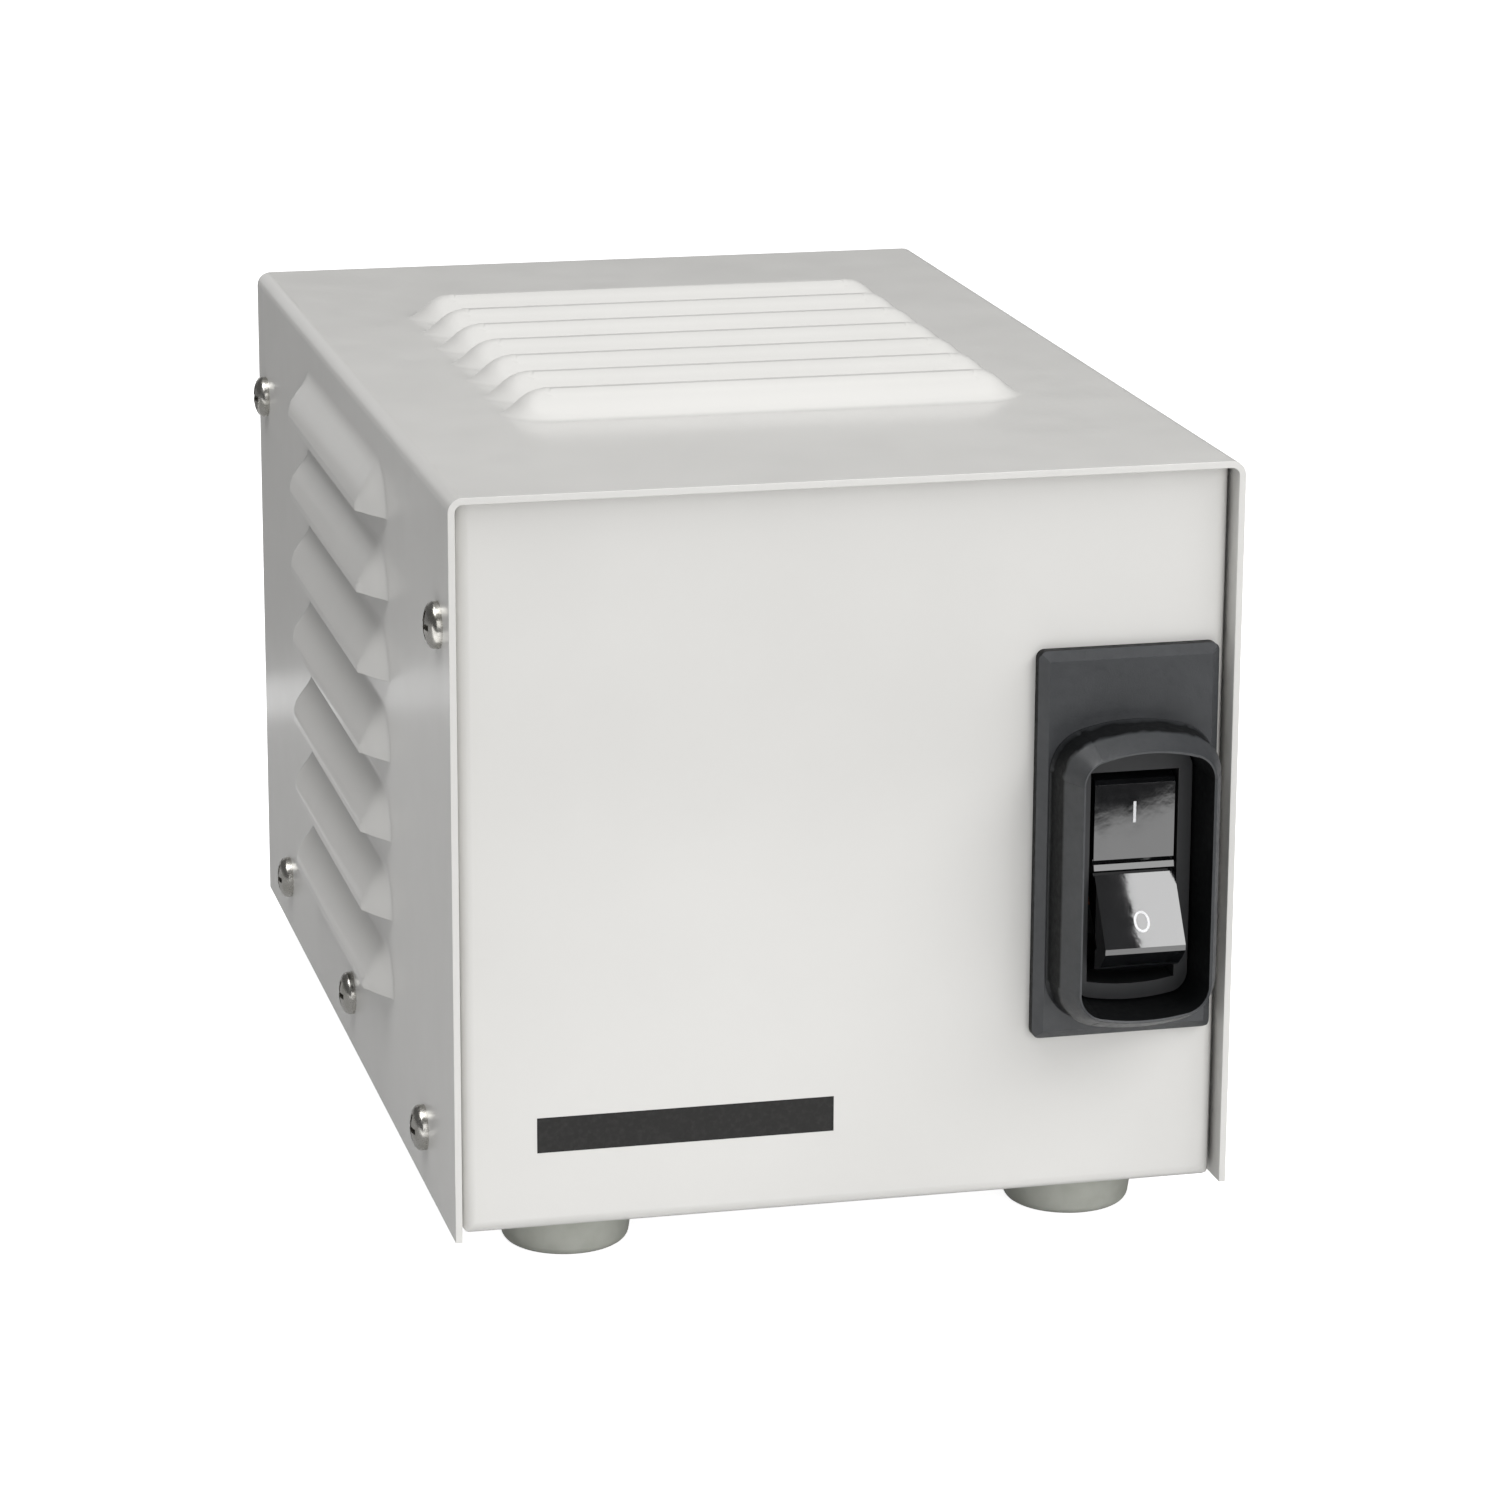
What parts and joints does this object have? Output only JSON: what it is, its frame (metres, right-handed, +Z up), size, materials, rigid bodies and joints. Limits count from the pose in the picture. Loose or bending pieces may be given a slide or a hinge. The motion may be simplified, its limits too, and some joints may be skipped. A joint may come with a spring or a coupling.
{
  "type": "isolation transformer",
  "caption": "Mains isolation transformer in a louvred steel case on rubber feet, with a guarded rocker switch in front and a duplex outlet and cord gland behind.",
  "frame": {"origin": "on the surface the feet stand on, under the middle of the part's width and length", "axes": "+X to the right seen from the front, -Y out of the switch panel, +Z up"},
  "size_m": [0.149, 0.2346, 0.1445],
  "materials": {
    "case_paint": "semi-gloss warm light grey enamel",
    "foot_rubber": "matte",
    "plated_steel": "bright zinc plated",
    "guard_plastic": "satin",
    "switch_plastic": "satin",
    "rocker_gloss": "gloss",
    "nylon": "satin",
    "outlet_plastic": "semi-gloss",
    "brass": "plain",
    "copper": "enamelled",
    "green_screw": "dyed",
    "core_steel": "varnished laminations",
    "coil_tape": "film tape",
    "board": "solder mask",
    "blue_coating": "dipped epoxy"
  },
  "bodies": {
    "case": {"wrap_cover": "case_paint", "base_chassis": "case_paint", "foot_front_left": "foot_rubber", "foot_front_right": "foot_rubber", "foot_rear_left": "foot_rubber", "foot_rear_right": "foot_rubber", "foot_screws": "plated_steel", "foot_nuts": "plated_steel", "cover_screws": "plated_steel", "switch_guard": "guard_plastic", "switch_housing": "switch_plastic", "switch_contacts": "brass", "switch_terminals": "brass", "outlet_face": "outlet_plastic", "outlet_body": "outlet_plastic", "outlet_strap": "plated_steel", "outlet_screws": "plated_steel", "outlet_line_contacts": "brass", "outlet_neutral_contacts": "brass", "outlet_ground_contacts": "brass", "outlet_line_screws": "brass", "outlet_neutral_screws": "plated_steel", "outlet_earth_screw": "green_screw", "cord_gland": "switch_plastic", "core_e_laminations": "core_steel", "core_i_laminations": "core_steel", "coil_bobbin": "nylon", "primary_winding": "copper", "shield_foil": "copper", "secondary_winding": "copper", "coil_wrap": "coil_tape", "front_core_bracket": "plated_steel", "rear_core_bracket": "plated_steel", "core_clamp_bars": "plated_steel", "core_bolts": "plated_steel", "core_washers": "plated_steel", "core_nuts": "plated_steel", "bracket_screws": "plated_steel", "bracket_nuts": "plated_steel", "terminal_block": "switch_plastic", "terminal_screws": "brass", "block_screws": "plated_steel", "surge_board": "board", "board_standoffs": "plated_steel", "board_screws": "plated_steel", "varistors": "blue_coating", "filter_capacitor": "coil_tape", "earth_stud": "plated_steel", "earth_nut": "plated_steel", "earth_rings": "copper"},
    "rocker": {"switch_rocker": "rocker_gloss", "switch_plunger": "nylon", "plunger_spring": "plated_steel"},
    "lever": {"contact_lever": "copper"}
  },
  "joints": [
    {"name": "rocker_turn", "type": "hinge", "parent": "case", "child": "rocker", "pos_m": [0.0504, -0.10222, 0.0673], "axis": [1, 0, 0], "range_deg": [0, 33]},
    {"name": "lever_turn", "type": "hinge", "parent": "case", "child": "lever", "pos_m": [0.0504, -0.09112, 0.0673], "axis": [1, 0, 0], "range_deg": [-15.2, 0]}
  ],
  "couplings": [
    {"joint": "lever_turn", "follows": "rocker_turn", "ratio": -0.46}
  ]
}
